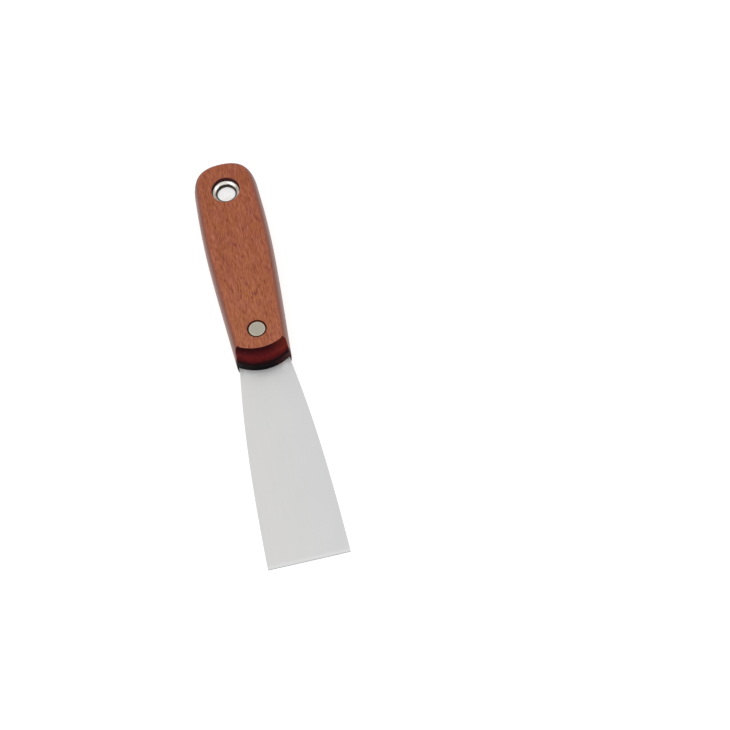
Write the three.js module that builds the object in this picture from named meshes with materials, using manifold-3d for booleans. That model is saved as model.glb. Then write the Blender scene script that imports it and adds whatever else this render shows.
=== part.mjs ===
// Flexible putty knife: a spring-steel blade whose hidden tang is held between two
// hardwood scales by a two-part rivet at the front and a two-part eyelet at the hang hole.
// Millimetres, +Z up. The blade points along -Y and the hang end along +Y. The lower face
// of the handle lies on Z = 0, and the origin is under the middle of the handle's length.
// Every piece is drawn with y = 0 at the foremost point of the handle, and the whole
// knife is moved forward by half the handle at the end.
import * as THREE from "three";
import { mergeVertices } from "three/addons/utils/BufferGeometryUtils.js";
import Module from "manifold-3d";

// Handle. A side curve is four Bezier control points, each [half width, y].
const HANDLE_LENGTH = 114.9;
const HANDLE_THICKNESS = 16.8;
const FRONT_HALF_WIDTH = 12.95;
const BELLY_HALF_WIDTH = 16;
const BELLY_Y = 68.8; // where the handle is widest
const SHOULDER_HALF_WIDTH = 15.1;
const SHOULDER_Y = 100.4; // where the sides start to turn in to the hang end
const FRONT_TO_BELLY = [
  [FRONT_HALF_WIDTH, 0],
  [FRONT_HALF_WIDTH + 0.9, 22.1],
  [BELLY_HALF_WIDTH - 0.3, 47.4],
  [BELLY_HALF_WIDTH, BELLY_Y],
];
const BELLY_TO_SHOULDER = [
  [BELLY_HALF_WIDTH, BELLY_Y],
  [BELLY_HALF_WIDTH, 84.5],
  [15.7, 88.4],
  [SHOULDER_HALF_WIDTH, SHOULDER_Y],
];
const HANG_END = [
  [SHOULDER_HALF_WIDTH, SHOULDER_Y],
  [SHOULDER_HALF_WIDTH - 0.38, SHOULDER_Y + 7.5],
  [12.4, HANDLE_LENGTH],
  [0, HANDLE_LENGTH],
];
const CROWN_INSET = 3; // from the widest line of the side to the edge of either flat face
const GLUE_LINE = 0.1; // between the two scales

// Coved front of the handle, the same above and below
const FRONT_ARC_RADIUS = 20.5; // bow of the front end, seen from above
const COVE_RADIUS = 7.8;
const COVE_SETBACK = 7.35; // from the foremost point back to the edge of the flat face
const LIP_RADIUS = 1.5; // rounding from the cove down to the upright end face

// Blade
const BLADE_REACH = 109.05; // from the handle to the tip
const BLADE_ROOT_THICKNESS = 0.8;
const BLADE_TIP_THICKNESS = 0.5;
const BLADE_ROOT_HALF_WIDTH = 12.6;
const BLADE_TIP_HALF_WIDTH = 20;
const BLADE_SIDE = [
  [BLADE_TIP_HALF_WIDTH, -BLADE_REACH],
  [BLADE_TIP_HALF_WIDTH - 0.9, -72.2],
  [BLADE_ROOT_HALF_WIDTH + 4.95, -35.6],
  [BLADE_ROOT_HALF_WIDTH, 0],
];
const TANG_HALF_WIDTH = 9;
const TANG_NECK = [
  [BLADE_ROOT_HALF_WIDTH, 0],
  [BLADE_ROOT_HALF_WIDTH - 0.6, 7.5],
  [TANG_HALF_WIDTH, 15],
  [TANG_HALF_WIDTH, 25],
];
const TANG_END_Y = 107.2;
const TANG_CORNER_RADIUS = 4;
const POCKET_PLAY = 0.3; // around the tang, in the plane of the blade
const POCKET_GAP = 0.1; // between each face of the tang and its scale

// Front rivet
const RIVET_Y = 18.35;
const RIVET_HEAD_RADIUS = 4;
const RIVET_HEAD_THICKNESS = 1.5;
const RIVET_RECESS = 0.25; // of either head below the face of the wood
const RIVET_RIM_RADIUS = 0.25;
const RIVET_SEAT_RADIUS = 4.7;
const RIVET_SEAT_DEPTH = 1.85;
const RIVET_SHANK_RADIUS = 1.6;
const RIVET_SHANK_END = 4;
const RIVET_TUBE_RADIUS = 2.3;
const RIVET_TUBE_BORE = 1.7;
const RIVET_TUBE_TOP = 12;
const RIVET_HOLE_RADIUS = 2.4;

// Hang-hole eyelet
const EYELET_Y = 98.1;
const EYELET_BORE = 4.2; // radius, as for every hole and seat
const EYELET_WALL = 0.4;
const EYELET_RADIUS = 6.5; // over the flared flange above, and over the rolled end below
const EYELET_RECESS = 2; // of the flange below the face of the wood
const EYELET_SEAT_RADIUS = 6.75;
const EYELET_SEAT_DEPTH = 3.7;
const EYELET_HOLE_RADIUS = 4.7;
const WASHER_RADIUS = 6.55;
const WASHER_THICKNESS = 0.5;
const SEAT_GAP = 0.05; // between stacked metal and wood faces

// Smoothness of round surfaces
const OUTLINE_STEPS = 14;
const CROWN_STEPS = 6;
const PROFILE_STEPS = 5;
const RIM_STEPS = 2;
const BOW_STEPS = 26;
const ROUND_SIDES = 40;

const MID_Z = HANDLE_THICKNESS / 2;
const COVE_RUN = COVE_SETBACK - LIP_RADIUS;
const COVE_DEPTH = COVE_RADIUS - Math.sqrt(COVE_RADIUS ** 2 - COVE_RUN ** 2);
const CLEAR = 5; // how far a cutting shape runs past the surface it cuts
const BOW_REACH = FRONT_ARC_RADIUS - 1; // half the width over which the front's bow is drawn

const wasm = await Module();
wasm.setup();

const wood = new THREE.MeshStandardMaterial({ color: 0xa66044, roughness: 0.42, metalness: 0 });
const steel = new THREE.MeshStandardMaterial({ color: 0xd3d3d1, roughness: 0.3, metalness: 1 });
const satin = new THREE.MeshStandardMaterial({ color: 0xb0aa9b, roughness: 0.45, metalness: 1 });
const plated = new THREE.MeshStandardMaterial({ color: 0xebe4d7, roughness: 0.2, metalness: 1 });

// A closed three.js geometry as a manifold-3d solid.
function solidOf(geometry) {
  const bare = geometry.clone();
  bare.deleteAttribute("normal");
  bare.deleteAttribute("uv");
  const merged = mergeVertices(bare, 1e-4);
  const mesh = new wasm.Mesh({
    numProp: 3,
    vertProperties: merged.attributes.position.array,
    triVerts: new Uint32Array(merged.index.array),
  });
  return new wasm.Manifold(mesh);
}

// A named mesh of a manifold-3d solid.
function meshOf(name, solid, material) {
  const { numProp, numVert, vertProperties, triVerts } = solid.getMesh();
  const position = new Float32Array(numVert * 3);
  for (let i = 0; i < numVert; i++) {
    position.set(vertProperties.subarray(i * numProp, i * numProp + 3), i * 3);
  }
  const shared = new THREE.BufferGeometry();
  shared.setAttribute("position", new THREE.BufferAttribute(position, 3));
  shared.setIndex(new THREE.BufferAttribute(triVerts, 1));
  const geometry = shared.toNonIndexed();
  geometry.computeVertexNormals();
  const mesh = new THREE.Mesh(geometry, material);
  mesh.name = name;
  return mesh;
}

// A plan outline made into a plate between two heights.
function plate(shape, low, high) {
  const options = { depth: high - low, bevelEnabled: false, curveSegments: OUTLINE_STEPS };
  return solidOf(new THREE.ExtrudeGeometry(shape, options).translate(0, 0, low));
}

// A side view, given as [y, z] points, made into a bar across X; bend moves its points in Y.
function crossBar(side, halfWidth, steps, bend = () => 0) {
  const shape = new THREE.Shape(side.map(([y, z]) => new THREE.Vector2(y, z)));
  const geometry = new THREE.ExtrudeGeometry(shape, { depth: 2 * halfWidth, bevelEnabled: false, steps });
  const drawnY = new THREE.Vector3(0, 1, 0);
  const drawnZ = new THREE.Vector3(0, 0, 1);
  const across = new THREE.Vector3(1, 0, 0);
  geometry.translate(0, 0, -halfWidth);
  geometry.applyMatrix4(new THREE.Matrix4().makeBasis(drawnY, drawnZ, across));
  const position = geometry.attributes.position;
  for (let i = 0; i < position.count; i++) {
    position.setY(i, position.getY(i) + bend(position.getX(i)));
  }
  return solidOf(geometry);
}

// A [radius, z] profile turned about an upright axis at the given y.
function turned(profile, y) {
  const points = profile.map(([radius, z]) => new THREE.Vector2(radius, z));
  const geometry = new THREE.LatheGeometry(points, ROUND_SIDES);
  return solidOf(geometry.rotateX(Math.PI / 2).translate(0, y, 0));
}

function disc(radius, low, high, y) {
  return turned([[0, low], [radius, low], [radius, high], [0, high]], y);
}

// Points of an arc in a profile; angles in degrees, anticlockwise from the first axis.
function arc(centreA, centreB, radius, from, to, steps = PROFILE_STEPS) {
  return Array.from({ length: steps + 1 }, (_, i) => {
    const angle = THREE.MathUtils.degToRad(from + ((to - from) * i) / steps);
    return [centreA + radius * Math.cos(angle), centreB + radius * Math.sin(angle)];
  });
}

// Adds a side curve to an outline whose pen is at the curve's first point.
// The sign of side says which side of the knife it is on.
function addSide(shape, curve, side, margin = 0) {
  const [, a, b, c] = curve.map(([half, y]) => [side * (half + margin), y]);
  shape.bezierCurveTo(...a, ...b, ...c);
}

// How far the bowed front end of the handle lies behind its foremost point.
function frontBow(x) {
  return FRONT_ARC_RADIUS - Math.sqrt(FRONT_ARC_RADIUS ** 2 - x ** 2);
}

// Plan outline of the handle, running past the front so that the cove can trim it.
function handleOutline() {
  const sides = [FRONT_TO_BELLY, BELLY_TO_SHOULDER, HANG_END];
  const shape = new THREE.Shape();
  shape.moveTo(-FRONT_HALF_WIDTH, -CLEAR);
  shape.lineTo(FRONT_HALF_WIDTH, -CLEAR);
  shape.lineTo(FRONT_HALF_WIDTH, 0);
  sides.forEach((curve) => addSide(shape, curve, 1));
  sides.reverse().forEach((curve) => addSide(shape, [...curve].reverse(), -1));
  return shape;
}

// The whole handle before it is cut. Its side is crowned: a quarter ellipse above the glue
// line, and another below it.
function handleBlank() {
  const rise = MID_Z - GLUE_LINE / 2;
  const geometry = new THREE.ExtrudeGeometry(handleOutline(), {
    depth: GLUE_LINE,
    bevelThickness: rise,
    bevelSize: CROWN_INSET,
    bevelOffset: -CROWN_INSET,
    bevelSegments: CROWN_STEPS,
    curveSegments: OUTLINE_STEPS,
  });
  return solidOf(geometry.translate(0, 0, rise));
}

// What is cut away at the front of the upper scale: the cove, the lip and all in front of them.
function coveCut() {
  const lipZ = HANDLE_THICKNESS - COVE_DEPTH - LIP_RADIUS;
  const coveZ = HANDLE_THICKNESS - COVE_DEPTH + COVE_RADIUS;
  const coveEnd = -THREE.MathUtils.radToDeg(Math.acos(COVE_RUN / COVE_RADIUS));
  const forward = -4 * CLEAR;
  const side = [
    [forward, MID_Z - CLEAR],
    [0, MID_Z - CLEAR],
    ...arc(LIP_RADIUS, lipZ, LIP_RADIUS, 180, 90),
    ...arc(LIP_RADIUS, coveZ, COVE_RADIUS, -90, coveEnd).slice(1),
    [COVE_SETBACK, HANDLE_THICKNESS + CLEAR],
    [forward, HANDLE_THICKNESS + CLEAR],
  ];
  return crossBar(side, BOW_REACH, BOW_STEPS, frontBow);
}

// Plan outline of the blade and tang, grown by a margin for the pocket that holds the tang.
function bladeOutline(margin) {
  const tang = TANG_HALF_WIDTH + margin;
  const cornerX = tang - TANG_CORNER_RADIUS;
  const cornerY = TANG_END_Y + margin - TANG_CORNER_RADIUS;
  const shape = new THREE.Shape();
  shape.moveTo(-BLADE_TIP_HALF_WIDTH - margin, -BLADE_REACH);
  shape.lineTo(BLADE_TIP_HALF_WIDTH + margin, -BLADE_REACH);
  addSide(shape, BLADE_SIDE, 1, margin);
  addSide(shape, TANG_NECK, 1, margin);
  shape.absarc(cornerX, cornerY, TANG_CORNER_RADIUS, 0, Math.PI / 2, false);
  shape.absarc(-cornerX, cornerY, TANG_CORNER_RADIUS, Math.PI / 2, Math.PI, false);
  shape.lineTo(-tang, TANG_NECK.at(-1)[1]);
  addSide(shape, [...TANG_NECK].reverse(), -1, margin);
  addSide(shape, [...BLADE_SIDE].reverse(), -1, margin);
  return shape;
}

// One piece of spring steel, ground thinner from the handle to the tip.
function blade() {
  const root = BLADE_ROOT_THICKNESS / 2;
  const tip = BLADE_TIP_THICKNESS / 2;
  const side = [
    [-BLADE_REACH, MID_Z - tip],
    [0, MID_Z - root],
    [TANG_END_Y, MID_Z - root],
    [TANG_END_Y, MID_Z + root],
    [0, MID_Z + root],
    [-BLADE_REACH, MID_Z + tip],
  ];
  return plate(bladeOutline(0), 0, HANDLE_THICKNESS)
    .intersect(crossBar(side, BLADE_TIP_HALF_WIDTH + CLEAR, 1))
    .subtract(disc(RIVET_HOLE_RADIUS, 0, HANDLE_THICKNESS, RIVET_Y))
    .subtract(disc(EYELET_HOLE_RADIUS, 0, HANDLE_THICKNESS, EYELET_Y));
}

// A hole through the upper scale with a wider seat sunk into the face.
function seatedHole(holeRadius, seatRadius, seatDepth, y) {
  const seat = disc(seatRadius, HANDLE_THICKNESS - seatDepth, HANDLE_THICKNESS + CLEAR, y);
  return disc(holeRadius, MID_Z - CLEAR, HANDLE_THICKNESS + CLEAR, y).add(seat);
}

function upperScale() {
  const glueZ = MID_Z + GLUE_LINE / 2;
  const pocketTop = MID_Z + BLADE_ROOT_THICKNESS / 2 + POCKET_GAP;
  const lowerHalf = new THREE.BoxGeometry(4 * BELLY_HALF_WIDTH, 4 * HANDLE_LENGTH, 2 * glueZ);
  return handleBlank()
    .subtract(coveCut())
    .subtract(solidOf(lowerHalf))
    .subtract(plate(bladeOutline(POCKET_PLAY), 0, pocketTop))
    .subtract(seatedHole(RIVET_HOLE_RADIUS, RIVET_SEAT_RADIUS, RIVET_SEAT_DEPTH, RIVET_Y))
    .subtract(seatedHole(EYELET_HOLE_RADIUS, EYELET_SEAT_RADIUS, EYELET_SEAT_DEPTH, EYELET_Y));
}

// The lower scale is the upper one turned over about the knife's own length.
function turnedOver(scale) {
  return scale.rotate([0, 180, 0]).translate([0, 0, HANDLE_THICKNESS]);
}

// The solid half: a flat head, just below the upper face, on a plain shank.
function rivetMale() {
  const top = HANDLE_THICKNESS - RIVET_RECESS;
  const under = top - RIVET_HEAD_THICKNESS;
  const rimX = RIVET_HEAD_RADIUS - RIVET_RIM_RADIUS;
  const profile = [
    [0, RIVET_SHANK_END],
    [RIVET_SHANK_RADIUS, RIVET_SHANK_END],
    [RIVET_SHANK_RADIUS, under],
    [RIVET_HEAD_RADIUS, under],
    ...arc(rimX, top - RIVET_RIM_RADIUS, RIVET_RIM_RADIUS, 0, 90, RIM_STEPS),
    [0, top],
  ];
  return turned(profile, RIVET_Y);
}

// The tubular half: its head is just inside the lower face and its bore grips the shank.
function rivetFemale() {
  const rimX = RIVET_HEAD_RADIUS - RIVET_RIM_RADIUS;
  const inner = RIVET_RECESS + RIVET_HEAD_THICKNESS;
  const profile = [
    [0, RIVET_RECESS],
    ...arc(rimX, RIVET_RECESS + RIVET_RIM_RADIUS, RIVET_RIM_RADIUS, 270, 360, RIM_STEPS),
    [RIVET_HEAD_RADIUS, inner],
    [RIVET_TUBE_RADIUS, inner],
    [RIVET_TUBE_RADIUS, RIVET_TUBE_TOP],
    [RIVET_TUBE_BORE, RIVET_TUBE_TOP],
    [RIVET_TUBE_BORE, inner],
    [0, inner],
  ];
  return turned(profile, RIVET_Y);
}

// A thin barrel: it flares out like a trumpet above, and is rolled over the washer below.
function eyelet() {
  const edge = EYELET_WALL / 2;
  const flareX = EYELET_RADIUS - edge;
  const flare = flareX - EYELET_BORE;
  const flareZ = HANDLE_THICKNESS - EYELET_RECESS - flare;
  const roll = (EYELET_RADIUS - EYELET_BORE) / 2;
  const rollX = EYELET_BORE + roll;
  const rollZ = EYELET_SEAT_DEPTH - WASHER_THICKNESS - 2 * SEAT_GAP;
  const profile = [
    ...arc(flareX, flareZ + flare - edge, edge, -90, 90, RIM_STEPS),
    ...arc(flareX, flareZ, flare, 90, 180).slice(1),
    ...arc(rollX, rollZ, roll, 180, 360),
    ...arc(rollX, rollZ, roll - EYELET_WALL, 360, 180),
    ...arc(flareX, flareZ, flare - EYELET_WALL, 180, 90),
  ];
  return turned(profile, EYELET_Y);
}

function eyeletWasher() {
  const bore = EYELET_BORE + EYELET_WALL + SEAT_GAP;
  const top = EYELET_SEAT_DEPTH - SEAT_GAP;
  const bottom = top - WASHER_THICKNESS;
  const section = [[bore, bottom], [WASHER_RADIUS, bottom], [WASHER_RADIUS, top], [bore, top]];
  return turned([...section, section[0]], EYELET_Y);
}

const knife = new THREE.Group();
const upper = upperScale();
knife.add(meshOf("blade", blade(), steel));
knife.add(meshOf("upper_scale", upper, wood));
knife.add(meshOf("lower_scale", turnedOver(upper), wood));
knife.add(meshOf("rivet_male", rivetMale(), satin));
knife.add(meshOf("rivet_female", rivetFemale(), satin));
knife.add(meshOf("eyelet", eyelet(), plated));
knife.add(meshOf("eyelet_washer", eyeletWasher(), plated));
knife.position.y = -HANDLE_LENGTH / 2;

const part = new THREE.Group();
part.add(knife);
export default part;
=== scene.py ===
import math

import bmesh
import bpy
import numpy as np
from mathutils import Matrix, Vector, noise
from mathutils.geometry import delaunay_2d_cdt


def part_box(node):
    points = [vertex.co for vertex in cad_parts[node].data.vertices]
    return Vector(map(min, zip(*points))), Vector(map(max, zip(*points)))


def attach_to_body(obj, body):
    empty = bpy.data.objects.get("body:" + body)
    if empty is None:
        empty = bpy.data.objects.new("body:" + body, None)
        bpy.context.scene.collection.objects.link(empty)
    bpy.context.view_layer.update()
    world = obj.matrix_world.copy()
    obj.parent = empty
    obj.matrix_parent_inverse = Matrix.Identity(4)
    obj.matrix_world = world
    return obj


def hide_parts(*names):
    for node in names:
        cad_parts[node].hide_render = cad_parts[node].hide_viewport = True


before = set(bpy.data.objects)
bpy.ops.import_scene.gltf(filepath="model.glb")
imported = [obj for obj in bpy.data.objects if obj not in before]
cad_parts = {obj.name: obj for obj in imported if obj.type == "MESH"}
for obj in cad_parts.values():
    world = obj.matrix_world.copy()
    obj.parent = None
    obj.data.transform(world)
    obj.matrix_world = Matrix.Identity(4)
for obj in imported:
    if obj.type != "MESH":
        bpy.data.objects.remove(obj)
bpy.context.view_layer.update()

# The finished look of a flexible putty knife: a polished spring-steel blade, two lacquered
# hardwood scales with an enamelled cove at the front, a sanded rivet and a flanged eyelet.
# Shapes are worked out in millimetres from the CAD frame, in the frame's own axes.
MM = 0.001


def box_mm(node):
    """Lowest and highest corner of a CAD node in millimetres."""
    low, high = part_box(node)
    return np.array(low) / MM, np.array(high) / MM


SCALE_LOW, SCALE_HIGH = box_mm("upper_scale")
BLADE_LOW, BLADE_HIGH = box_mm("blade")
MALE_LOW, MALE_HIGH = box_mm("rivet_male")
FEMALE_LOW, FEMALE_HIGH = box_mm("rivet_female")
EYELET_LOW, EYELET_HIGH = box_mm("eyelet")
WASHER_LOW, WASHER_HIGH = box_mm("eyelet_washer")

# Handle
THICKNESS = SCALE_HIGH[2]
MID_Z = THICKNESS / 2
FRONT_Y = SCALE_LOW[1]
END_Y = SCALE_HIGH[1]
BELLY_HALF = SCALE_HIGH[0]
BELLY_Y = FRONT_Y + 68.8
FRONT_HALF = BELLY_HALF - 3.05
SHOULDER_HALF = BELLY_HALF - 0.9
SHOULDER_Y = FRONT_Y + 100.4
CROWN_INSET = 3  # from the widest line of the side to the edge of the flat face
SEAM = 0.05  # from the middle of the handle to the flat back of each scale
CROWN_RISE = MID_Z - SEAM

# Coved front
BOW_RADIUS = 20.5
COVE_RADIUS = 7.8
COVE_SETBACK = 7.35
LIP = 1.5
COVE_RUN = COVE_SETBACK - LIP
COVE_DEPTH = COVE_RADIUS - math.sqrt(COVE_RADIUS**2 - COVE_RUN**2)
ARRIS = 0.3  # softening of the sharp edges left by the cutter

# Blade
TIP_Y = BLADE_LOW[1]
TANG_END = BLADE_HIGH[1]
TIP_HALF = BLADE_HIGH[0]
ROOT_HALF = TIP_HALF - 7.4
TANG_HALF = 9
TANG_CORNER = 4
ROOT_THICKNESS = BLADE_HIGH[2] - BLADE_LOW[2]
TIP_THICKNESS = 0.5
NICK = 0.12  # the long edges are broken by a light pass over a stone
NOSE = 0.1  # the tip edge is square, with its corners just taken off
POCKET_PLAY = 0.3  # beside the tang
POCKET_GAP = 0.1  # above the tang

# Fasteners
RIVET_Y = (MALE_LOW[1] + MALE_HIGH[1]) / 2
RIVET_RADIUS = MALE_HIGH[0]
RIVET_HEAD = 1.5
RIVET_RIM = 0.28  # rounding of the head's edge
RIVET_CHAMFER = 0.1  # under the head
RIVET_DISH = 0.03
RIVET_SHANK = 1.6
RIVET_TUBE = 2.3
RIVET_BORE = 1.7
RIVET_HOLE = 2.4
RIVET_SEAT = RIVET_RADIUS + 0.7
RIVET_SEAT_DEPTH = 1.85
EYELET_Y = (EYELET_LOW[1] + EYELET_HIGH[1]) / 2
ROLL = 1.15  # radius of the eyelet's rolled lower end
SHEET = 0.4
EYELET_BORE = EYELET_HIGH[0] - 2 * ROLL
FLARE = 2 * ROLL - SHEET / 2  # radius of the trumpet-shaped flange
BARREL_FOOT = EYELET_HIGH[2] - EYELET_LOW[2] - ROLL  # depth at which the barrel starts to roll
EYELET_HOLE = EYELET_BORE + SHEET + 0.1
EYELET_SEAT = EYELET_HIGH[0] + 0.25
EYELET_SEAT_DEPTH = WASHER_HIGH[2] + 0.05
RIM = 0.15  # softening of the seats' rims
CUTTER_LOW = MID_Z - 3  # cutters start well below the back of the scale

# Fineness of the meshes
SHARP_ANGLE = math.radians(32)  # edges that turn more than this aren't shaded smooth
ROUND_SIDES = 96
CROWN_LEVELS = 16
COVE_LEVELS = 12
WALL_LEVELS = 5
ARRIS_LEVELS = 4
LEAST_DROP = 0.012  # between two levels
SIDE_STEP = 1.1
SETTLED_RUN = 24.0  # from here back along the outline, every level has its points at the same runs
NEAR_POINTS = 14  # from the front corner to there
FACE_STEP = 1.6
FACE_MARGIN = 0.8  # kept clear inside the edge of the flat face and round the seats
BOW_COLUMNS = 36
CORNER_COLUMNS = 4
BLADE_COLUMNS = 28
TANG_CORNER_POINTS = 13

# Camera and light
CAMERA_TARGET = Vector((45.95, -61.85, 0)) * MM
CAMERA_ELEVATION = math.radians(57.7)
CAMERA_ROLL = math.radians(-12.85)
CAMERA_LENS = 1500
VIEW_WIDTH = 344.7 * MM  # across the picture at the target
FLOOR_SIZE = 8.0  # in metres
FLOOR_Z = -0.05  # in millimetres, just clear of the handle
TENT_DIM, TENT_BRIGHT = 0.35, 0.8  # on the camera's side, and overhead
VEIL = 0.03  # linear brightness of the studio's reflection in the lacquer


def bezier(points, steps):
    """Points along a cubic Bezier curve."""
    a, b, c, d = (np.array(p, float) for p in points)
    t = np.linspace(0, 1, steps + 1)[:, None]
    return (1 - t) ** 3 * a + 3 * t * (1 - t) ** 2 * b + 3 * t**2 * (1 - t) * c + t**3 * d


def mark_sharp(bm):
    """Smooth shading everywhere but over sharp edges."""
    for face in bm.faces:
        face.smooth = True
    for edge in bm.edges:
        edge.smooth = len(edge.link_faces) == 2 and edge.calc_face_angle() < SHARP_ANGLE


def new_object(name, bm, materials):
    """A mesh object from a bmesh drawn in millimetres."""
    bm.normal_update()
    mark_sharp(bm)
    bmesh.ops.scale(bm, vec=(MM, MM, MM), verts=bm.verts)
    mesh = bpy.data.meshes.new(name)
    bm.to_mesh(mesh)
    bm.free()
    for material in materials:
        mesh.materials.append(material)
    obj = bpy.data.objects.new(name, mesh)
    bpy.context.scene.collection.objects.link(obj)
    return obj


def loft(bm, rings, material=lambda row, column: 0):
    """Quads between successive closed rings of bmesh vertices."""
    for row, (upper, lower) in enumerate(zip(rings, rings[1:])):
        for i in range(len(upper)):
            j = (i + 1) % len(upper)
            face = bm.faces.new((upper[i], lower[i], lower[j], upper[j]))
            face.material_index = material(row, i)


def steady(angle, radius, z):
    """The wobble of a piece that is truly round."""
    return 0


def lathe(bm, profile, centre_y, closed=False, wobble=steady, turn=0.0):
    """Turns a (radius, z) profile about an upright axis, where a radius of 0 makes a pole.

    A turn shifts the corners round by that share of one side.
    """
    angles = [2 * math.pi * (i + turn) / ROUND_SIDES for i in range(ROUND_SIDES)]
    rings = []
    for radius, z in profile:
        if radius < 1e-6:
            rings.append([bm.verts.new((0, centre_y, z))])
            continue
        ring = []
        for angle in angles:
            r = radius + wobble(angle, radius, z)
            ring.append(bm.verts.new((r * math.cos(angle), centre_y + r * math.sin(angle), z)))
        rings.append(ring)
    if closed:
        rings.append(rings[0])
    for a, b in zip(rings, rings[1:]):
        for i in range(ROUND_SIDES):
            j = (i + 1) % ROUND_SIDES
            quad = [a[i % len(a)], a[j % len(a)], b[j % len(b)], b[i % len(b)]]
            bm.faces.new(list(dict.fromkeys(quad)))
    return rings


def arc(centre_r, centre_z, radius, start, end, steps=10):
    """Points of an arc in a (radius, z) profile, with angles in degrees."""
    angles = np.radians(np.linspace(start, end, steps + 1))
    return [(centre_r + radius * math.cos(a), centre_z + radius * math.sin(a)) for a in angles]


def cut(obj, cutter):
    """Takes the cutter's volume out of obj."""
    modifier = obj.modifiers.new("cut", "BOOLEAN")
    modifier.operation = "DIFFERENCE"
    modifier.solver = "EXACT"
    modifier.object = cutter
    bpy.context.view_layer.update()
    graph = bpy.context.evaluated_depsgraph_get()
    mesh = bpy.data.meshes.new_from_object(obj.evaluated_get(graph), depsgraph=graph)
    obj.modifiers.clear()
    old = obj.data
    obj.data = mesh
    mesh.name = obj.name
    bpy.data.meshes.remove(old)
    bpy.data.objects.remove(cutter)


def weight_normals(obj):
    """Large flat faces keep their own direction, so that they don't shade as if curved."""
    modifier = obj.modifiers.new("weighted", "WEIGHTED_NORMAL")
    modifier.keep_sharp = True


# Handle outline

def right_side():
    """Dense plan points of the handle's right side, from the front to the tip of the hang end."""
    front = bezier(
        [
            (FRONT_HALF, FRONT_Y),
            (FRONT_HALF + 0.9, FRONT_Y + 22.1),
            (BELLY_HALF - 0.3, FRONT_Y + 47.4),
            (BELLY_HALF, BELLY_Y),
        ],
        steps=160,
    )
    back = bezier(
        [
            (BELLY_HALF, BELLY_Y),
            (BELLY_HALF, BELLY_Y + 15.7),
            (SHOULDER_HALF + 0.6, SHOULDER_Y - 12),
            (SHOULDER_HALF, SHOULDER_Y),
        ],
        steps=120,
    )
    end = bezier(
        [
            (SHOULDER_HALF, SHOULDER_Y),
            (SHOULDER_HALF - 0.38, SHOULDER_Y + 7.5),
            (12.4, END_Y),
            (0, END_Y),
        ],
        steps=160,
    )
    return np.concatenate([front, back[1:], end[1:]])


class Outline:
    """The right side of the handle by distance along it, moved inwards by an inset."""

    def __init__(self):
        self.points = right_side()
        steps = np.diff(self.points, axis=0)
        lengths = np.linalg.norm(steps, axis=1)
        self.run = np.concatenate([[0], np.cumsum(lengths)])
        self.length = self.run[-1]
        tangents = np.gradient(self.points, self.run, axis=0)
        tangents[-1] = (-1, 0)
        tangents /= np.linalg.norm(tangents, axis=1)[:, None]
        self.normals = np.stack([tangents[:, 1], -tangents[:, 0]], 1)

    def at(self, run, inset):
        """The plan point at a distance along the outline, moved inwards."""
        point = [np.interp(run, self.run, self.points[:, k]) for k in (0, 1)]
        normal = np.array([np.interp(run, self.run, self.normals[:, k]) for k in (0, 1)])
        return np.array(point) - normal / np.linalg.norm(normal) * inset


def bow(x):
    """How far the bowed front lies behind its foremost point."""
    return BOW_RADIUS - math.sqrt(BOW_RADIUS**2 - x * x)


def setback(drop):
    """How far the front surface lies behind the foremost point, at a drop below the face."""
    if drop < COVE_DEPTH:
        rise = COVE_RADIUS - (COVE_DEPTH - drop)
        back = LIP + math.sqrt(max(COVE_RADIUS**2 - rise**2, 0))
        return back + ARRIS * max(0, 1 - drop / ARRIS) ** 2
    if drop < COVE_DEPTH + LIP:
        rise = LIP - (drop - COVE_DEPTH)
        return LIP - math.sqrt(max(LIP**2 - rise**2, 0))
    return 0.0


def crown_inset(drop):
    """How far the crowned side lies inside the outline, at a drop below the face."""
    height = max(0, 1 - drop / CROWN_RISE)
    return CROWN_INSET * (1 - math.sqrt(1 - height**2))


def level_drops():
    """Depths below the face at which the handle's outer surface gets a ring of points."""
    quarter = np.linspace(0, math.pi / 2, CROWN_LEVELS)
    crown = CROWN_RISE * (1 - np.cos(quarter))
    cove_top = math.asin(COVE_RUN / COVE_RADIUS)
    cove = COVE_DEPTH - COVE_RADIUS * (1 - np.cos(np.linspace(0, cove_top, COVE_LEVELS)))
    lip = COVE_DEPTH + LIP * (1 - np.cos(quarter[::2]))
    wall = np.linspace(COVE_DEPTH + LIP, CROWN_RISE, WALL_LEVELS)
    arris = np.linspace(0, ARRIS, ARRIS_LEVELS)
    drops = np.unique(np.round(np.concatenate([crown, cove, lip, wall, arris]), 4))
    keep = [0.0]
    for drop in drops[1:]:
        if drop - keep[-1] > LEAST_DROP:
            keep.append(float(drop))
    keep[-1] = CROWN_RISE
    return keep


def front_corner(outline, drop):
    """Where the side of the handle meets its front: the distance along the outline."""
    inset, back = crown_inset(drop), setback(drop)
    low, high = 0.0, 30.0
    halvings = 50
    for _ in range(halvings):
        middle = (low + high) / 2
        x, y = outline.at(middle, inset)
        if y < FRONT_Y + back + bow(x):
            low = middle
        else:
            high = middle
    return (low + high) / 2


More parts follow.
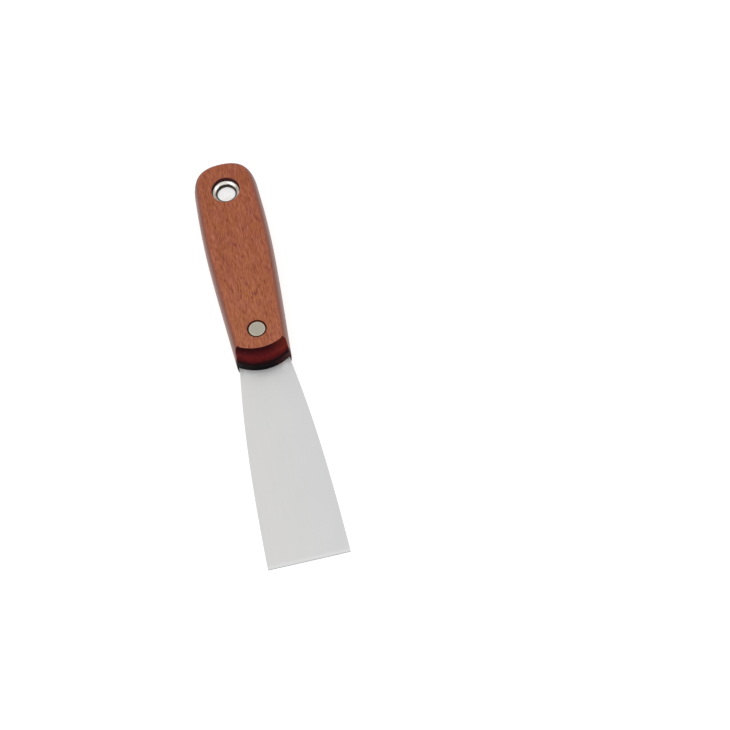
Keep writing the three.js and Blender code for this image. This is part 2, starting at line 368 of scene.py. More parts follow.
def level_ring(outline, drop):
    """One ring of plan points round the handle: front, right corner, right side, and back."""
    inset, back = crown_inset(drop), setback(drop)
    start = front_corner(outline, drop)
    corner = outline.at(start, inset)
    soft = 2 * ARRIS
    edge_x = corner[0] - soft
    front = [(x, FRONT_Y + back + bow(x)) for x in np.linspace(0, edge_x, BOW_COLUMNS // 2 + 1)]
    side_start = outline.at(start + soft, inset)
    turn = []
    for t in np.linspace(0, 1, CORNER_COLUMNS + 1)[1:]:
        a, b, c = np.array(front[-1]), corner, side_start
        turn.append(tuple((1 - t) ** 2 * a + 2 * t * (1 - t) * b + t * t * c))
    near = np.linspace(start + soft, SETTLED_RUN, NEAR_POINTS)[1:]
    far_steps = round((outline.length - SETTLED_RUN) / SIDE_STEP)
    far = np.linspace(SETTLED_RUN, outline.length, far_steps + 1)[1:]
    side = [tuple(outline.at(run, inset)) for run in np.concatenate([near, far])]
    side[-1] = (0.0, END_Y - inset)
    right = front + turn + side
    left = [(-x, y) for x, y in reversed(right[1:-1])]
    return right + left


def face_points(boundary, seats):
    """Points spread over the flat face, away from its edge and from the two seats."""
    points = []
    row_step = FACE_STEP * math.sqrt(3) / 2
    low, high = boundary.min(0), boundary.max(0)
    ends = np.roll(boundary, -1, axis=0)
    for row, y in enumerate(np.arange(low[1], high[1], row_step)):
        for x in np.arange(low[0] + (row % 2) * FACE_STEP / 2, high[0], FACE_STEP):
            point = np.array([x, y])
            if any(math.hypot(x, y - seat_y) < radius + FACE_MARGIN for seat_y, radius in seats):
                continue
            along = ends - boundary
            share = np.clip(((point - boundary) * along).sum(1) / (along**2).sum(1), 0, 1)
            gap = np.linalg.norm(boundary + along * share[:, None] - point, axis=1).min()
            if gap > FACE_MARGIN and inside(point, boundary):
                points.append((x, y))
    return points


def inside(point, polygon):
    """True if a plan point lies inside a closed polygon."""
    x, y = point
    nxt = np.roll(polygon, -1, axis=0)
    crosses = (polygon[:, 1] > y) != (nxt[:, 1] > y)
    span = np.where(crosses, nxt[:, 1] - polygon[:, 1], 1)
    at = polygon[:, 0] + (y - polygon[:, 1]) / span * (nxt[:, 0] - polygon[:, 0])
    return bool((crosses & (x < at)).sum() % 2)


def face_sag(x, y, gap):
    """Hand sanding leaves the face very slightly uneven, fading out at its edges."""
    depth, fade = 0.022, 4
    wave = noise.noise(Vector((x / 9, y / 26, 0)))
    return -depth * (0.5 + 0.5 * wave) * min(1, gap / fade)


def fill_face(bm, ring, seats):
    """Triangles over the flat face, between its outer ring and the rims of the seats."""
    boundary = np.array([v.co[:2] for v in ring])
    loose = face_points(boundary, seats)
    flat, edges, verts, seat_of = [], [], [], []
    for number, loop in enumerate([list(ring), *seats.values()]):
        first = len(flat)
        seat_of += [number] * len(loop)
        flat += [Vector(v.co[:2]) for v in loop]
        verts += loop
        edges += [(first + i, first + (i + 1) % len(loop)) for i in range(len(loop))]
    for x, y in loose:
        gap = np.linalg.norm(boundary - (x, y), axis=1).min()
        for seat_y, radius in seats:
            gap = min(gap, math.hypot(x, y - seat_y) - radius)
        flat.append(Vector((x, y)))
        seat_of.append(0)
        verts.append(bm.verts.new((x, y, THICKNESS + face_sag(x, y, gap))))
    _, _, triangles, origins, _, _ = delaunay_2d_cdt(flat, edges, [], 0, 1e-6, True)
    # A triangle with all its corners on one seat's rim lies over the seat, and is left out.
    for triangle in triangles:
        corners = [verts[origins[i][0]] for i in triangle]
        middle = sum((c.co for c in corners), Vector()) / 3
        touched = {seat_of[origins[i][0]] for i in triangle}
        over_seat = len(touched) == 1 and touched != {0}
        if not over_seat and inside(middle[:2], boundary):
            bm.faces.new(corners)


def seat(bm, radius, depth, centre_y):
    """A counterbore with a soft rim and a closed floor; returns the rim's ring."""
    profile = arc(radius + RIM, THICKNESS - RIM, RIM, 90, 180, 4)
    profile += [(radius, THICKNESS - depth), (0, THICKNESS - depth)]
    return lathe(bm, profile, centre_y)[0]


def scale_shell(bm):
    """The outside of the upper scale, closed underneath, before the tang pocket is cut."""
    outline = Outline()
    drops = level_drops()
    rings = []
    for drop in drops:
        ring = level_ring(outline, drop)
        rings.append([bm.verts.new((x, y, THICKNESS - drop)) for x, y in ring])
    reach = BOW_COLUMNS // 2 + CORNER_COLUMNS
    count = len(rings[0])
    black = next(i for i, drop in enumerate(drops) if drop > COVE_DEPTH)

    def enamel(row, column):
        from_front = min(column, count - 1 - column)
        return int(from_front < reach or (row >= black and from_front < reach + 1))

    loft(bm, rings, enamel)
    bm.faces.new(list(reversed(rings[-1])))
    seats = {
        (RIVET_Y, RIVET_SEAT + RIM): seat(bm, RIVET_SEAT, RIVET_SEAT_DEPTH, RIVET_Y),
        (EYELET_Y, EYELET_SEAT + RIM): seat(bm, EYELET_SEAT, EYELET_SEAT_DEPTH, EYELET_Y),
    }
    fill_face(bm, rings[0], seats)
    bmesh.ops.recalc_face_normals(bm, faces=bm.faces)


def tang_outline(margin):
    """Plan points of the blade and tang, from the tip round by the right side."""
    blade_side = bezier(
        [
            (TIP_HALF, TIP_Y),
            (TIP_HALF - 0.9, FRONT_Y - 72.2),
            (ROOT_HALF + 4.95, FRONT_Y - 35.6),
            (ROOT_HALF, FRONT_Y),
        ],
        steps=80,
    )
    neck = bezier(
        [
            (ROOT_HALF, FRONT_Y),
            (ROOT_HALF - 0.6, FRONT_Y + 7.5),
            (TANG_HALF, FRONT_Y + 15),
            (TANG_HALF, FRONT_Y + 25),
        ],
        steps=24,
    )
    angles = np.linspace(0, math.pi / 2, TANG_CORNER_POINTS)
    round_end = np.stack([np.cos(angles), np.sin(angles)], 1) * TANG_CORNER
    round_end += (TANG_HALF - TANG_CORNER, TANG_END - TANG_CORNER)
    side = np.concatenate([blade_side, neck[1:], round_end])
    return side + (margin, 0)


def pocket_cutter():
    """The shape of the tang, with room round it, to be taken out of the upper scale."""
    bm = bmesh.new()
    side = tang_outline(POCKET_PLAY)
    side[-1, 0] -= POCKET_PLAY
    side[-TANG_CORNER_POINTS:, 1] += POCKET_PLAY
    loop = [tuple(p) for p in side] + [(-x, y) for x, y in reversed(side)]
    top = MID_Z + ROOT_THICKNESS / 2 + POCKET_GAP
    low = [bm.verts.new((x, y, CUTTER_LOW)) for x, y in loop]
    high = [bm.verts.new((x, y, top)) for x, y in loop]
    loft(bm, [high, low])
    bm.faces.new(high)
    bm.faces.new(list(reversed(low)))
    bmesh.ops.recalc_face_normals(bm, faces=bm.faces)
    return new_object("pocket_cutter", bm, [])


def hole_cutter(radius, low, high, centre_y):
    """A round bar whose corners fall between the spokes of the seat's floor, for a clean cut."""
    bm = bmesh.new()
    lathe(bm, [(0, low), (radius, low), (radius, high), (0, high)], centre_y, turn=0.5)
    bmesh.ops.recalc_face_normals(bm, faces=bm.faces)
    return new_object("hole_cutter", bm, [])


def mark_inset(mesh):
    """Stores how far each point lies inside the handle's outline, for the painted shade near the
    wood's edges.
    """
    plan = np.array([vert.co[:2] for vert in mesh.vertices]) / MM
    plan[:, 0] = np.abs(plan[:, 0])
    nearest = np.full(len(plan), np.inf)
    for point in right_side():
        nearest = np.minimum(nearest, np.linalg.norm(plan - point, axis=1))
    mesh.attributes.new("inset", "FLOAT", "POINT").data.foreach_set("value", nearest)


def handle_scale(name, materials, upper):
    """One half of the handle; the lower one is the upper one turned over about Y."""
    bm = bmesh.new()
    scale_shell(bm)
    obj = new_object(name, bm, materials)
    cut(obj, pocket_cutter())
    rivet_top = THICKNESS - RIVET_SEAT_DEPTH / 2
    cut(obj, hole_cutter(RIVET_HOLE, CUTTER_LOW, rivet_top, RIVET_Y))
    eyelet_top = THICKNESS - EYELET_SEAT_DEPTH / 2
    cut(obj, hole_cutter(EYELET_HOLE, CUTTER_LOW, eyelet_top, EYELET_Y))
    if not upper:
        turn = Matrix.Rotation(math.pi, 4, "Y")
        obj.data.transform(Matrix.Translation((0, 0, THICKNESS * MM)) @ turn)
    sharpen(obj.data)
    mark_inset(obj.data)
    weight_normals(obj)
    return obj


def sharpen(mesh):
    """Marks the sharp edges again after a cut."""
    bm = bmesh.new()
    bm.from_mesh(mesh)
    bmesh.ops.remove_doubles(bm, verts=bm.verts, dist=1e-7)
    mark_sharp(bm)
    bm.to_mesh(mesh)
    bm.free()


# Blade

def blade_thickness(y):
    """Even under the handle and ground thinner from there to the tip."""
    share = min(1, max(0, (FRONT_Y - y) / (FRONT_Y - TIP_Y)))
    return ROOT_THICKNESS + (TIP_THICKNESS - ROOT_THICKNESS) * share


def blade_section(half, y):
    """One ring round the blade: its top, its right edge, its underside and its left edge."""
    thick = blade_thickness(y) / 2
    across = np.linspace(-(half - NICK), half - NICK, BLADE_COLUMNS + 1)
    top = [(x, y, MID_Z + thick) for x in across]
    right = [(half, y, MID_Z + thick - NICK), (half, y, MID_Z - thick + NICK)]
    under = [(x, y, MID_Z - thick) for x in reversed(across)]
    left = [(-half, y, MID_Z - thick + NICK), (-half, y, MID_Z + thick - NICK)]
    return top + right + under + left


def blade_piece(material):
    """Blade and tang in one, with the two holes that the fasteners pass through."""
    bm = bmesh.new()
    side = tang_outline(0)
    side = np.concatenate([[side[0] - (NOSE, 0)], side])
    side[1, 1] += NOSE
    rings = []
    for half, y in side:
        rings.append([bm.verts.new(p) for p in blade_section(half, y)])
    loft(bm, rings)
    bm.faces.new(rings[0])
    bm.faces.new(list(reversed(rings[-1])))
    bmesh.ops.recalc_face_normals(bm, faces=bm.faces)
    obj = new_object("spring_steel_blade", bm, [material])
    cut(obj, hole_cutter(RIVET_HOLE, 0, THICKNESS, RIVET_Y))
    cut(obj, hole_cutter(EYELET_HOLE, 0, THICKNESS, EYELET_Y))
    sharpen(obj.data)
    weight_normals(obj)
    return obj


# Fasteners

def turned_piece(name, profile, centre_y, material, closed=False, wobble=steady):
    bm = bmesh.new()
    lathe(bm, profile, centre_y, closed, wobble)
    bmesh.ops.recalc_face_normals(bm, faces=bm.faces)
    obj = new_object(name, bm, [material])
    weight_normals(obj)
    return obj


def dished_head():
    """(radius, depth) points of a rivet head that the press has faintly dished, from its middle."""
    radii = (0, 0.8, 1.4, 2, 2.6, 3.2)
    return [(r, RIVET_DISH * (1 - (r / RIVET_RADIUS) ** 2)) for r in radii]


def rivet_solid_half(material):
    """Flat head, just below the wood, on a plain shank with a tapered end."""
    end, top = MALE_LOW[2], MALE_HIGH[2]
    neck = top - RIVET_HEAD
    taper_run, taper_rise = 0.3, 0.4
    profile = [(0, end), (RIVET_SHANK - taper_run, end)]
    profile += [(RIVET_SHANK, end + taper_rise), (RIVET_SHANK, neck)]
    profile += [(RIVET_RADIUS - RIVET_CHAMFER, neck), (RIVET_RADIUS, neck + RIVET_CHAMFER)]
    profile += arc(RIVET_RADIUS - RIVET_RIM, top - RIVET_RIM, RIVET_RIM, 0, 90, 6)
    profile += [(r, top - depth) for r, depth in reversed(dished_head())]
    return turned_piece("rivet_solid_half", profile, RIVET_Y, material)


def rivet_tube_half(material):
    """The other head, with the tube that closes over the shank."""
    low, end = FEMALE_LOW[2], FEMALE_HIGH[2]
    inner = low + RIVET_HEAD
    lead = 0.2
    profile = [(r, low + depth) for r, depth in dished_head()]
    profile += arc(RIVET_RADIUS - RIVET_RIM, low + RIVET_RIM, RIVET_RIM, 270, 360, 6)
    profile += [(RIVET_RADIUS, inner - RIVET_CHAMFER), (RIVET_RADIUS - RIVET_CHAMFER, inner)]
    profile += [(RIVET_TUBE, inner), (RIVET_TUBE, end - lead)]
    profile += [(RIVET_TUBE - lead, end), (RIVET_BORE, end)]
    profile += [(RIVET_BORE, inner), (0, inner)]
    return turned_piece("rivet_tube_half", profile, RIVET_Y, material)


def eyelet_piece(material):
    """Thin barrel with a smooth trumpet flange above and a rolled, set end below."""
    flare_r = EYELET_BORE + FLARE
    flare_z = EYELET_HIGH[2] - FLARE
    roll_r = EYELET_BORE + ROLL
    bottom = EYELET_LOW[2] + ROLL
    profile = arc(flare_r, EYELET_HIGH[2] - SHEET / 2, SHEET / 2, -90, 90, 6)
    profile += arc(flare_r, flare_z, FLARE, 90, 180, 18)[1:]
    profile += arc(roll_r, bottom, ROLL, 180, 360, 18)
    profile += arc(roll_r, bottom, ROLL - SHEET, 360, 180, 12)
    profile += arc(flare_r, flare_z, FLARE - SHEET, 180, 90, 12)[:-1]

    def set_end(angle, radius, z):
        """The set end is a little uneven, because the tool spreads it in one stroke."""
        unevenness = 0.04
        if z > bottom or radius < EYELET_BORE + SHEET:
            return 0
        return -unevenness * (1 + math.sin(7 * angle + 0.6) * math.sin(3 * angle))

    return turned_piece("hang_eyelet", profile, EYELET_Y, material, closed=True, wobble=set_end)


def washer_piece(material):
    """Flat ring with soft edges, round the barrel and above its rolled end."""
    low, high = WASHER_LOW[2], WASHER_HIGH[2]
    play, rim = 0.05, 0.12
    bore, outer = EYELET_BORE + SHEET + play, WASHER_HIGH[0]
    profile = [(bore, low + rim), (bore + rim, low)]
    profile += arc(outer - rim, low + rim, rim, 270, 360, 3)
    profile += arc(outer - rim, high - rim, rim, 0, 90, 3)
    profile += [(bore, high)]
    return turned_piece("hang_eyelet_washer", profile, EYELET_Y, material, closed=True)


# Materials

class Shader:
    """A material's node tree, written one node per call."""

    def __init__(self, name):
        self.material = bpy.data.materials.new(name)
        self.material.use_nodes = True
        self.nodes = self.material.node_tree.nodes
        self.links = self.material.node_tree.links
        self.bsdf = self.nodes["Principled BSDF"]

    def feed(self, socket, value):
        """Wires a socket to another one, or sets it to a plain value."""
        if isinstance(value, bpy.types.NodeSocket):
            self.links.new(value, socket)
        else:
            socket.default_value = value

    def node(self, kind, inputs=None, **settings):
        made = self.nodes.new("ShaderNode" + kind)
        for key, value in settings.items():
            setattr(made, key, value)
        for key, value in (inputs or {}).items():
            self.feed(made.inputs[key], value)
        return made

    def maths(self, operation, a, b=0.0, clamp=False):
        return self.node("Math", {0: a, 1: b}, operation=operation, use_clamp=clamp).outputs[0]

    def place(self):
        """Position in millimetres in the frame's axes."""
        return self.stretched(self.node("TexCoord").outputs["Object"], (1 / MM,) * 3)

    def stretched(self, place, scale, offset=(0, 0, 0)):
        """A position scaled by axis and then moved."""
        scaled = self.node("VectorMath", {0: place, 1: scale}, operation="MULTIPLY").outputs[0]
        return self.node("VectorMath", {0: scaled, 1: offset}, operation="ADD").outputs[0]

    def noise(self, vector, detail=3.0, roughness=0.5, distortion=0.0):
        inputs = {"Vector": vector, "Scale": 1.0, "Detail": detail}
        inputs.update({"Roughness": roughness, "Distortion": distortion})
        return self.node("TexNoise", inputs).outputs["Fac"]

    def span(self, value, low, high, to_low=0.0, to_high=1.0, smooth=True):
        """Maps one range of a value onto another, held at its ends."""
        kind = "SMOOTHSTEP" if smooth else "LINEAR"
        inputs = {0: value, 1: low, 2: high, 3: to_low, 4: to_high}
        return self.node("MapRange", inputs, interpolation_type=kind).outputs[0]

    def mix(self, share, a, b):
        made = self.node("Mix", {0: share}, data_type="RGBA")
        self.feed(made.inputs[6], a)
        self.feed(made.inputs[7], b)
        return made.outputs[2]

    def ramp(self, value, stops):
        made = self.node("ValToRGB", {0: value})
        elements = made.color_ramp.elements
        while len(elements) < len(stops):
            elements.new(0.5)
        for element, (position, colour) in zip(elements, stops):
            element.position = position
            element.color = colour
        return made.outputs[0]

    def bump(self, height, distance, strength):
        inputs = {"Height": height, "Distance": distance * MM, "Strength": strength}
        return self.node("Bump", inputs).outputs[0]

    def finish(self, **inputs):
        for key, value in inputs.items():
            self.feed(self.bsdf.inputs[key.replace("_", " ")], value)
        return self.material


def srgb(red, green, blue):
    """A display colour, 0 to 255, as the linear colour that shaders use."""
    def linear(c):
        c /= 255
        return c / 12.92 if c <= 0.04045 else ((c + 0.055) / 1.055) ** 2.4
    return (linear(red), linear(green), linear(blue), 1.0)


def stain(red, green, blue):
    """A wood colour as it looks on the flat face, less what the lacquer's sheen adds there."""
    return tuple(max(c - VEIL, 0.002) for c in srgb(red, green, blue)[:3]) + (1.0,)


def from_axis(shader, place, centre_y):
    """Distance from an upright axis, in millimetres."""
    x, y, _ = shader.node("SeparateXYZ", {0: place}).outputs
    across = shader.maths("MULTIPLY", x, x)
    along = shader.maths("SUBTRACT", y, centre_y)
    return shader.maths("SQRT", shader.maths("ADD", across, shader.maths("MULTIPLY", along, along)))


def behind_front(shader, x, y):
    """Distance behind the bowed front of the handle, in millimetres."""
    squared = shader.maths("SUBTRACT", BOW_RADIUS**2, shader.maths("MULTIPLY", x, x))
    bowed = shader.maths("SQRT", shader.maths("MAXIMUM", squared, 0.0))
    return shader.maths("ADD", shader.maths("ADD", y, bowed), -BOW_RADIUS - FRONT_Y)


def wood_grain(s, place, along, offset):
    """Colour of the stained face, and the noises that its relief, edges and lacquer share."""
    drift = s.noise(s.stretched(place, (0.05, 0.018, 0.05), offset), 2)
    mottle = s.noise(s.stretched(place, (0.22, 0.1, 0.22), offset), 3, 0.6)
    bands = s.noise(s.stretched(place, (0.42, 0.022, 0.42), offset), 3, 0.55, 0.3)
    streaks = s.noise(s.stretched(place, (2.1, 0.1, 2.1), offset), 4, 0.6, 0.2)
    flecks = s.noise(s.stretched(place, (2.4, 0.33, 2.4), offset), 1.5, 0.5, 0.1)
    marks = s.noise(s.stretched(place, (1.0, 0.17, 1.0), offset), 1, 0.5, 0.3)
    toward_end = s.span(along, FRONT_Y, END_Y, 0, 0.9, smooth=False)
    red = s.maths("ADD", toward_end, s.span(drift, 0.3, 0.7, -0.25, 0.25), clamp=True)
    base = s.mix(red, stain(175, 106, 73), stain(160, 89, 62))
    # Each tint starts at one level of its noise, is fullest at the next, and covers a share.
    tints = [
        (mottle, 0.45, 0.68, 0.5, stain(172, 98, 84)),
        (mottle, 0.5, 0.3, 0.5, stain(166, 98, 56)),
        (bands, 0.4, 0.7, 0.4, stain(146, 80, 56)),
        (streaks, 0.45, 0.7, 0.5, stain(136, 72, 50)),
        (streaks, 0.5, 0.3, 0.35, stain(190, 120, 88)),
        (flecks, 0.56, 0.63, 0.62, stain(124, 64, 45)),
        (flecks, 0.42, 0.34, 0.4, stain(196, 126, 94)),
        (marks, 0.64, 0.73, 0.7, stain(122, 54, 42)),
    ]
    for level, start, fullest, share, colour in tints:
        base = s.mix(s.span(level, start, fullest, 0.0, share), base, colour)
    return base, drift, mottle, streaks, flecks


def lacquered_wood(name, offset):
    """Stained, fine-pored hardwood under a clear lacquer, painted redder and darker toward its sides
    as shade, with painted shade in the seats and a painted highlight along the cove's arris.
    """
    s = Shader(name)
    place = s.place()
    x, along, height = s.node("SeparateXYZ", {0: place}).outputs
    base, drift, mottle, streaks, flecks = wood_grain(s, place, along, offset)
    facing = s.node("SeparateXYZ", {0: s.node("NewGeometry").outputs["Normal"]}).outputs[2]
    tilt = s.maths("ABSOLUTE", facing)
    # Painted highlight: a lighter pinkish line on the face just behind the cove's arris.
    painted_arris_highlight = s.span(behind_front(s, x, along), COVE_SETBACK + 1.3, COVE_SETBACK + 0.3)
    base = s.mix(s.maths("MULTIPLY", painted_arris_highlight, 0.35), base, stain(178, 104, 86))
    # Painted shade: the wood is coloured darker and more mauve near its rounded edges.
    inset = s.node("Attribute", attribute_name="inset").outputs["Fac"]
    edge = s.span(s.maths("ADD", inset, s.span(mottle, 0.3, 0.7, -0.6, 0.6)), CROWN_INSET + 1.6, 1.0)
    base = s.mix(s.maths("MULTIPLY", edge, 0.6), base, stain(148, 82, 70))
    # Painted shade: faces turned away from straight up or down are coloured a darker red-brown.
    side = s.span(tilt, 0.97, 0.6)
    base = s.mix(s.maths("MULTIPLY", side, 0.72), base, srgb(108, 61, 46))
    # Painted shade: the sides darken toward the middle of the handle's height, darkest at the seam
    # between the halves.
    middle = s.maths("ABSOLUTE", s.maths("SUBTRACT", height, MID_Z))
    painted_shade_mid_height = s.span(middle, 3.5, 0.5)
    base = s.mix(s.maths("MULTIPLY", painted_shade_mid_height, 0.4), base, srgb(62, 34, 28))
    # Painted shade: the walls and floors of the two seats are coloured dark.
    inner = s.maths("LESS_THAN", middle, MID_Z - 0.1)
    rivet_seat = s.maths("LESS_THAN", from_axis(s, place, RIVET_Y), RIVET_SEAT + RIM)
    eyelet_seat = s.maths("LESS_THAN", from_axis(s, place, EYELET_Y), EYELET_SEAT + RIM)
    seats = s.maths("MULTIPLY", s.maths("MAXIMUM", rivet_seat, eyelet_seat), inner)
    painted_seat_shade = s.mix(eyelet_seat, srgb(110, 26, 16), srgb(84, 36, 40))
    base = s.mix(s.maths("MULTIPLY", seats, 0.9), base, painted_seat_shade)
    sunk = s.span(flecks, 0.56, 0.63, 0.0, -0.6)
    pores = s.maths("ADD", sunk, s.maths("MULTIPLY", streaks, 0.5))
    skin = s.bump(pores, 0.05, 0.35)
    orange_peel = s.noise(s.stretched(place, (0.9, 0.5, 0.9), offset), 2)
    coat = s.bump(orange_peel, 0.02, 0.4)
    thin = s.maths("ADD", s.maths("MULTIPLY", side, 0.6), s.maths("MULTIPLY", painted_shade_mid_height, 0.2))
    bare = s.maths("MAXIMUM", s.maths("MULTIPLY", seats, 0.85), thin)
    return s.finish(
        Base_Color=base, Roughness=0.5, Normal=skin, Specular_IOR_Level=0.1,
        Coat_Weight=s.maths("SUBTRACT", 1.0, bare), Coat_IOR=1.42, Coat_Normal=coat,
        Coat_Roughness=s.span(drift, 0.3, 0.7, 0.16, 0.24),
    )


def front_enamel():
    """Dark-red enamel in the cove, running into blue-black over the lip and down the end; the cove's
    shade and highlights are painted into its colour.
    """
    s = Shader("front_enamel")
    place = s.place()
    x, y, height = s.node("SeparateXYZ", {0: place}).outputs
    brush = s.noise(s.stretched(place, (0.3, 0.8, 0.8)), 3)
    wander = s.span(brush, 0.3, 0.7, -0.3, 0.3)
    back = s.maths("ADD", behind_front(s, x, y), wander)
    run = s.maths("DIVIDE", back, COVE_SETBACK, clamp=True)
    # Painted shade and light in the cove's colour: dark at the lip and just under the arris,
    # lightest midway.
    stops = [
        (0.0, srgb(26, 11, 14)),
        (0.07, srgb(38, 11, 14)),
        (0.15, srgb(56, 13, 15)),
        (0.25, srgb(80, 17, 19)),
        (0.38, srgb(92, 19, 21)),
        (0.52, srgb(94, 22, 23)),
        (0.68, srgb(78, 16, 19)),
        (0.84, srgb(60, 11, 15)),
        (1.0, srgb(44, 8, 10)),
    ]
    colour = s.ramp(run, stops)
    # Painted highlight: a warmer, lighter red toward +X across the middle of the cove.
    painted_highlight_right = s.maths("MULTIPLY", s.span(x, 2, 12), s.span(run, 0.25, 0.5))
    colour = s.mix(s.maths("MULTIPLY", painted_highlight_right, 0.4), colour, srgb(124, 46, 32))
    grain = s.noise(s.stretched(place, (1.3, 0.2, 1.3)), 3)
    colour = s.mix(s.span(grain, 0.42, 0.75, 0.0, 0.4), colour, srgb(30, 6, 9))
    # The lip and end are coloured near-black, partly the enamel's own dark colour and partly painted
    # shade, with a painted highlight lightening it toward +X.
    lip_level = MID_Z - COVE_DEPTH - LIP
    middle = s.maths("ABSOLUTE", s.maths("SUBTRACT", height, MID_Z))
    end = s.span(s.maths("ADD", middle, wander), lip_level + 1.0, lip_level - 1.4)
    black = s.mix(s.span(x, 3, 12), srgb(9, 6, 11), srgb(62, 24, 28))
    colour = s.mix(end, colour, black)
    drips = s.bump(brush, 0.06, 0.4)
    shine = s.maths("SUBTRACT", 0.045, s.maths("MULTIPLY", end, 0.025))
    return s.finish(Base_Color=colour, Roughness=0.35, Normal=drips, Specular_IOR_Level=shine)


def polished_blade():
    """Spring steel, ground along its length and polished, with a honed tip.

    It is painted lighter beside the handle, which makes up for the shade that the handle throws
    there; it is also painted darker toward its +X side and dark grey on faces turned toward the tip.
    """
    s = Shader("polished_spring_steel")
    place = s.place()
    x, y, _ = s.node("SeparateXYZ", {0: place}).outputs
    lines = s.noise(s.stretched(place, (9, 0.04, 9)), 3, 0.6)
    clouds = s.noise(s.stretched(place, (0.04, 0.03, 0.04)), 2)
    smears = s.noise(s.stretched(place, (0.16, 0.05, 0.16), (3, 8, 0)), 3)
    honing = s.noise(s.stretched(place, (1.1, 0.8, 1.1), (1, 4, 0)), 3, 0.7)
    colour = s.mix(s.span(lines, 0.3, 0.7), (0.71, 0.705, 0.69, 1), (0.75, 0.745, 0.735, 1))
    colour = s.mix(s.span(clouds, 0.35, 0.7, 0.0, 0.3), colour, (0.71, 0.70, 0.70, 1))
    # Painted shade: the blade is coloured darker toward its +X side.
    colour = s.mix(s.span(x, -18, 18, 0.0, 0.5), colour, (0.66, 0.67, 0.68, 1))
    ragged = s.maths("ADD", y, s.span(honing, 0.3, 0.7, -0.4, 0.4))
    honed = s.span(ragged, TIP_Y + 2.6, TIP_Y + 1.2)
    colour = s.mix(s.maths("MULTIPLY", honed, 0.5), colour, (0.82, 0.82, 0.83, 1))
    # Painted light: within a few millimetres of the handle, away from its edges, the blade is
    # coloured near-white against the handle's shade.
    inboard = s.span(s.maths("ABSOLUTE", x), ROOT_HALF - 0.8, ROOT_HALF - 3)
    painted_light_near_handle = s.maths("MULTIPLY", s.span(y, FRONT_Y - 4, FRONT_Y + 3), inboard)
    colour = s.mix(painted_light_near_handle, colour, (0.99, 0.99, 0.99, 1))
    # Painted shade: faces turned toward the tip (−Y) are coloured dark grey.
    forward = s.node("SeparateXYZ", {0: s.node("NewGeometry").outputs["Normal"]}).outputs[1]
    end = s.span(forward, -0.4, -0.8)
    colour = s.mix(end, colour, (0.26, 0.26, 0.26, 1))
    rough = s.maths("ADD", s.span(lines, 0.3, 0.7, 0.38, 0.44), s.span(smears, 0.4, 0.7, 0.0, 0.05))
    normal = s.bump(lines, 0.002, 0.5)
    return s.finish(Base_Color=colour, Metallic=0.6, Roughness=rough, Normal=normal, Anisotropic=0.3)


def sanded_rivet():
    """Steel head with the short crossing scratches of sandpaper and a brighter rim."""
    s = Shader("sanded_rivet_steel")
    place = s.place()
    scratches = s.noise(s.stretched(place, (9, 2.2, 4)), 4, 0.65)
    crossing = s.noise(s.stretched(place, (2.6, 8, 4), (5, 0, 0)), 3, 0.6)
    both = s.maths("MULTIPLY", s.maths("ADD", scratches, crossing), 0.5)
    mottle = s.noise(s.stretched(place, (1.6, 1.3, 1.6)), 3, 0.7)
    colour = s.mix(s.span(both, 0.38, 0.62), (0.41, 0.385, 0.31, 1), (0.56, 0.52, 0.435, 1))
    colour = s.mix(s.span(mottle, 0.42, 0.62, 0.0, 0.6), colour, (0.40, 0.385, 0.32, 1))
    rim = s.span(from_axis(s, place, RIVET_Y), RIVET_RADIUS - 1.1, RIVET_RADIUS - 0.3)
    colour = s.mix(s.maths("MULTIPLY", rim, 0.35), colour, (0.66, 0.59, 0.50, 1))
    normal = s.bump(both, 0.02, 0.6)
    rough = s.span(both, 0.35, 0.65, 0.5, 0.38)
    return s.finish(Base_Color=colour, Metallic=1.0, Roughness=rough, Normal=normal)


def plated_eyelet():
    """Plating coloured bright cream where it faces −Y and dull elsewhere as painted light, with a
    ring of painted shade in the throat.

    The barrel is coloured pure white, so that from a low angle, where its wall hides the floor,
    the hole still looks as light as the floor.
    """
    s = Shader("plated_eyelet_metal")
    place = s.place()
    z = s.node("SeparateXYZ", {0: place}).outputs[2]
    facing = s.node("SeparateXYZ", {0: s.node("NewGeometry").outputs["Normal"]}).outputs[1]
    cloud = s.noise(s.stretched(place, (0.8, 0.8, 0.8)), 3)
    wander = s.span(cloud, 0.3, 0.7, -0.12, 0.12)
    # Painted light: faces turned toward −Y are coloured bright cream, the rest dull brown.
    painted_light_facing_front = s.span(s.maths("ADD", facing, wander), 0.3, -0.6)
    colour = s.mix(painted_light_facing_front, (0.40, 0.33, 0.28, 1), (0.99, 0.96, 0.90, 1))
    depth = s.maths("SUBTRACT", EYELET_HIGH[2], s.maths("ADD", z, wander))
    below_flange = s.span(depth, FLARE + 0.1, FLARE + 0.7)
    above_roll = s.span(depth, BARREL_FOOT - 0.25, BARREL_FOOT - 1.25)
    colour = s.mix(s.maths("MULTIPLY", below_flange, above_roll), colour, (1, 1, 1, 1))
    # Painted shade: a near-black, less metallic ring round the top of the throat, just under the
    # flange.
    starts = s.maths("SUBTRACT", depth, s.maths("MULTIPLY", painted_light_facing_front, 0.35))
    in_throat = s.span(depth, FLARE + 0.8, FLARE + 0.4)
    painted_throat_shade = s.maths("MULTIPLY", s.span(starts, 0.2, 0.55), in_throat)
    colour = s.mix(s.maths("MULTIPLY", painted_throat_shade, 0.98), colour, (0.03, 0.027, 0.01, 1))
    normal = s.bump(cloud, 0.03, 0.3)
    rough = s.span(cloud, 0.3, 0.7, 0.16, 0.24)
    metal = s.maths("SUBTRACT", 1.0, s.maths("MULTIPLY", painted_throat_shade, 0.95))
    return s.finish(
        Base_Color=colour, Metallic=metal, Roughness=rough, Normal=normal, Specular_IOR_Level=0.2,
    )


# Studio

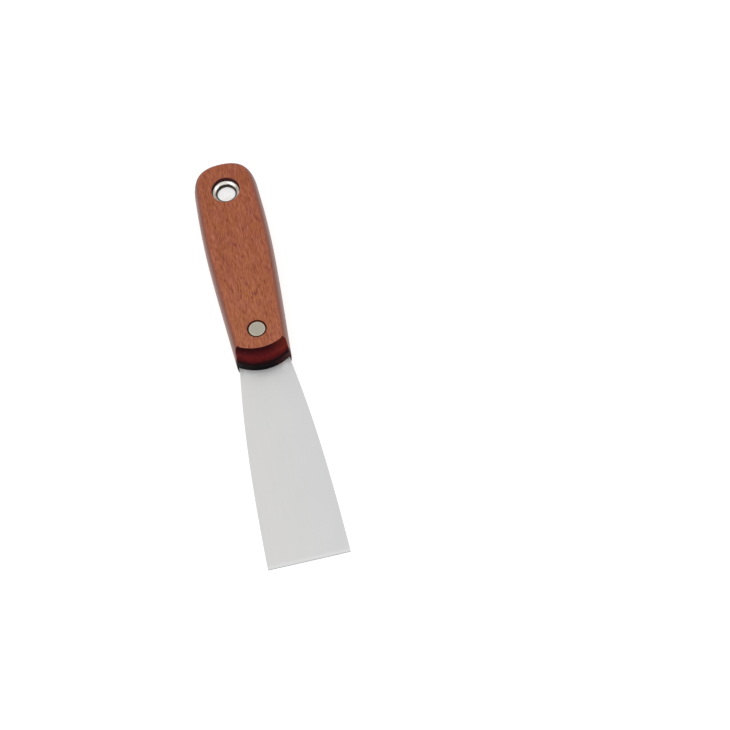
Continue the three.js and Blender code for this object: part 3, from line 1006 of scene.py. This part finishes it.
def floor():
    """A matt floor that also glows, so that it reads as plain white."""
    bm = bmesh.new()
    bmesh.ops.create_grid(bm, x_segments=8, y_segments=8, size=FLOOR_SIZE / MM / 2)
    for vert in bm.verts:
        vert.co.z = FLOOR_Z
    material = Shader("pale_floor").finish(
        Base_Color=(0.5, 0.5, 0.5, 1), Roughness=0.9, Specular_IOR_Level=0.0,
        Emission_Color=(1, 1, 1, 1), Emission_Strength=0.7,
    )
    new_object("studio_floor", bm, [material])


def area_light(name, place, target, size, power):
    data = bpy.data.lights.new(name, "AREA")
    data.shape = "DISK"
    data.size = size
    data.energy = power
    obj = bpy.data.objects.new(name, data)
    obj.location = place
    obj.rotation_euler = (Vector(target) - Vector(place)).to_track_quat("-Z", "Y").to_euler()
    bpy.context.scene.collection.objects.link(obj)


def studio():
    """White tent, brighter overhead and behind the hang end than on the camera's side."""
    scene = bpy.context.scene
    scene.view_settings.view_transform = "Standard"
    world = bpy.data.worlds.new("studio")
    world.use_nodes = True
    nodes, links = world.node_tree.nodes, world.node_tree.links
    where = nodes.new("ShaderNodeTexCoord")
    toward = nodes.new("ShaderNodeVectorMath")
    toward.operation = "DOT_PRODUCT"
    toward.inputs[1].default_value = Vector((0, 0.6, 0.8))
    level = nodes.new("ShaderNodeMapRange")
    level.interpolation_type = "SMOOTHSTEP"
    for key, value in zip((1, 2, 3, 4), (-0.6, 0.3, TENT_DIM, TENT_BRIGHT)):
        level.inputs[key].default_value = value
    links.new(where.outputs["Generated"], toward.inputs[0])
    links.new(toward.outputs["Value"], level.inputs[0])
    links.new(level.outputs[0], nodes["Background"].inputs["Strength"])
    nodes["Background"].inputs["Color"].default_value = (1, 1, 1, 1)
    scene.world = world
    floor()
    area_light("key", (-0.8, -0.1, 1.2), (0, -0.03, 0), 0.9, 3.5)
    area_light("fill", (0.9, 0.0, 1.1), (0, -0.03, 0), 1.0, 2.5)


def camera():
    """Long lens, looking along the knife from the blade's side and rolled to the left."""
    data = bpy.data.cameras.new("camera")
    data.lens = CAMERA_LENS
    data.clip_end = 50
    obj = bpy.data.objects.new("camera", data)
    distance = VIEW_WIDTH * data.lens / data.sensor_width
    back = Vector((0, -math.cos(CAMERA_ELEVATION), math.sin(CAMERA_ELEVATION)))
    level = (-back).to_track_quat("-Z", "Y").to_matrix().to_4x4()
    roll = Matrix.Rotation(CAMERA_ROLL, 4, "Z")
    obj.matrix_world = Matrix.Translation(CAMERA_TARGET + back * distance) @ level @ roll
    bpy.context.scene.collection.objects.link(obj)
    bpy.context.scene.camera = obj


def attach(obj, node):
    """The finished piece rides on the knife and stands for its CAD node."""
    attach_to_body(obj, "root")
    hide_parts(node)


enamel = front_enamel()
rivet_metal = sanded_rivet()
eyelet_metal = plated_eyelet()
upper_wood = lacquered_wood("upper_wood", (0, 0, 0))
lower_wood = lacquered_wood("lower_wood", (7.3, 2.1, 4.4))
attach(blade_piece(polished_blade()), "blade")
upper_half = handle_scale("handle_upper_half", [upper_wood, enamel], upper=True)
lower_half = handle_scale("handle_lower_half", [lower_wood, enamel], upper=False)
attach(upper_half, "upper_scale")
attach(lower_half, "lower_scale")
attach(rivet_solid_half(rivet_metal), "rivet_male")
attach(rivet_tube_half(rivet_metal), "rivet_female")
attach(eyelet_piece(eyelet_metal), "eyelet")
attach(washer_piece(eyelet_metal), "eyelet_washer")
studio()
camera()
